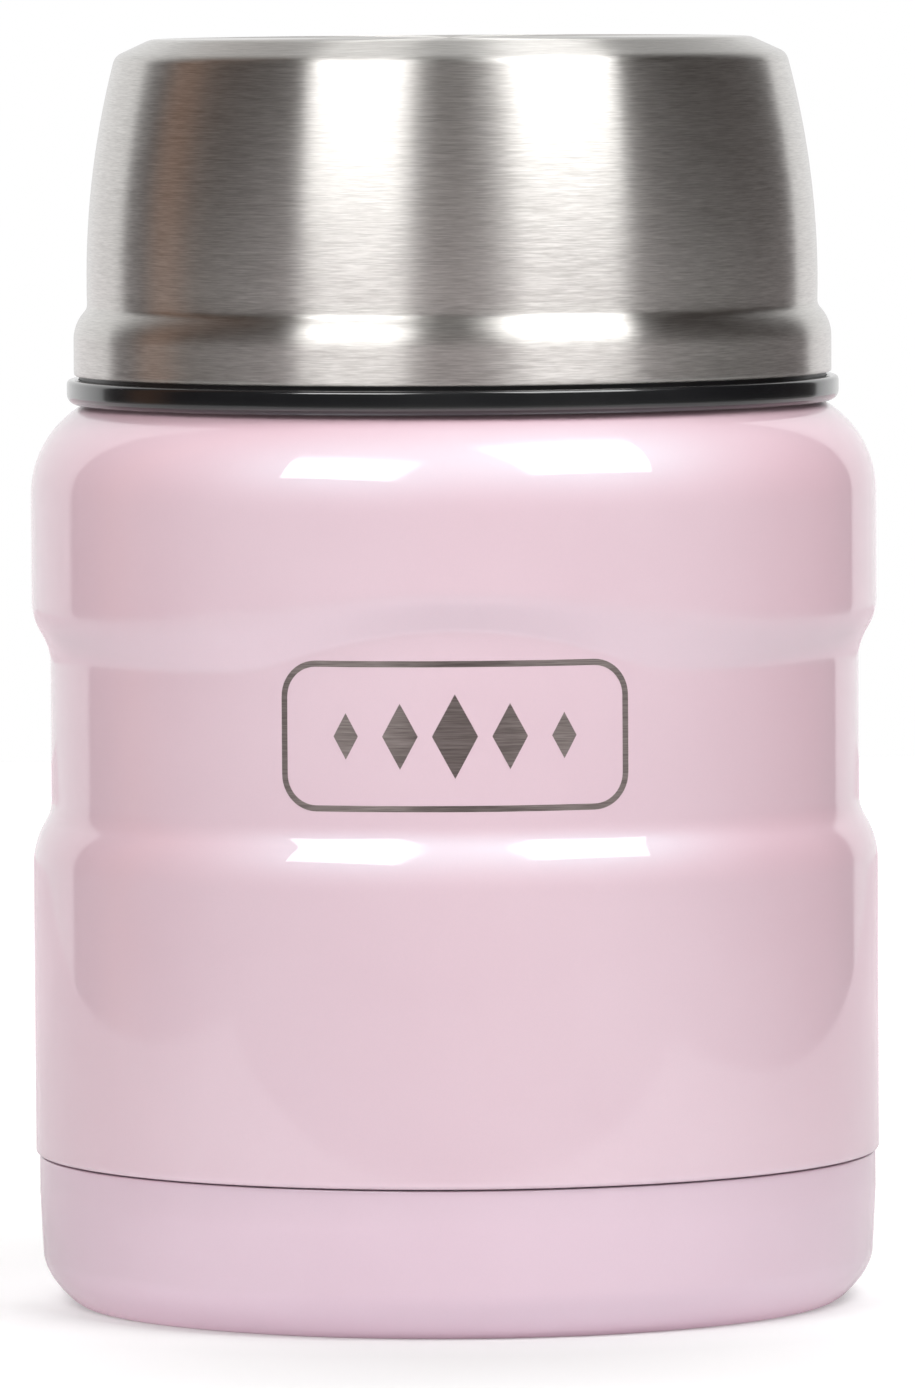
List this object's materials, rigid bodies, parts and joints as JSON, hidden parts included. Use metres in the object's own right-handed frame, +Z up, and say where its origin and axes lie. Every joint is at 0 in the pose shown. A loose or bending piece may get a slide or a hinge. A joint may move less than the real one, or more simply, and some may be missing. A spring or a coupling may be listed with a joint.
{
  "type": "insulated food jar",
  "caption": "Wide-mouth vacuum insulated food jar with a brushed steel screw lid that serves as a bowl, a screw stopper and a folding spoon under the lid.",
  "frame": {"origin": "on the jar's axis, in the plane of the ring that it stands on", "axes": "+Z up along the jar's axis; -Y towards the front, where the arch above the panel is; the folded spoon lies along X with its hinge at -X"},
  "size_m": [0.0944, 0.0944, 0.141],
  "materials": {
    "body_paint": "pearl pink paint under a gloss coat",
    "base_paint": "pearl pink paint under a gloss coat",
    "neck_steel": "turned stainless steel",
    "vessel_steel": "electropolished stainless steel",
    "foil": "bright metal foil",
    "getter": "pressed metal powder",
    "seal": "fused sealing bead",
    "gasket_rubber": "smooth silicone",
    "stopper_plastic": "fine satin moulded",
    "foam": "expanded bead foam",
    "rim_plastic": "polished moulded",
    "lid_steel": "brushed round its axis",
    "liner_plastic": "satin moulded",
    "spoon_steel": "polished stainless steel"
  },
  "bodies": {
    "jar": {"outer_shell": "body_paint", "base_cup": "base_paint", "threaded_neck": "neck_steel", "inner_vessel": "vessel_steel", "end_plate": "vessel_steel", "radiation_foil": "foil", "getter": "getter", "evacuation_seal": "seal"},
    "gasket": {"stopper_gasket": "gasket_rubber"},
    "stopper": {"stopper_cap": "stopper_plastic", "stopper_plug": "stopper_plastic", "stopper_foam": "foam"},
    "rim": {"lid_rim": "rim_plastic"},
    "lid": {"lid_shell": "lid_steel", "lid_liner": "liner_plastic"},
    "spoon": {"spoon_bowl": "spoon_steel", "spoon_pin": "spoon_steel"},
    "handle": {"spoon_handle": "spoon_steel"}
  },
  "joints": [
    {"name": "stopper_lift", "type": "slide", "parent": "jar", "child": "gasket", "axis": [0, 0, 1], "range_m": [0, 0.06]},
    {"name": "stopper_turn", "type": "hinge", "parent": "gasket", "child": "stopper", "pos_m": [0, 0, 0.11], "axis": [0, 0, 1], "range_deg": [0, 270]},
    {"name": "lid_lift", "type": "slide", "parent": "stopper", "child": "rim", "axis": [0, 0, 1], "range_m": [0, 0.19]},
    {"name": "lid_turn", "type": "hinge", "parent": "rim", "child": "lid", "pos_m": [0, 0, 0.12], "axis": [0, 0, 1], "range_deg": [0, 270]},
    {"name": "spoon_lift", "type": "slide", "parent": "stopper", "child": "spoon", "axis": [0, 0, 1], "range_m": [0, 0.025]},
    {"name": "spoon_unfold", "type": "hinge", "parent": "spoon", "child": "handle", "pos_m": [-0.03, 0, 0.1214], "axis": [0, -1, 0], "range_deg": [0, 180]}
  ],
  "couplings": [
    {"joint": "spoon_lift", "follows": "lid_lift", "ratio": 0.1315},
    {"joint": "spoon_unfold", "follows": "lid_lift", "rad_per_m": 16.53}
  ]
}
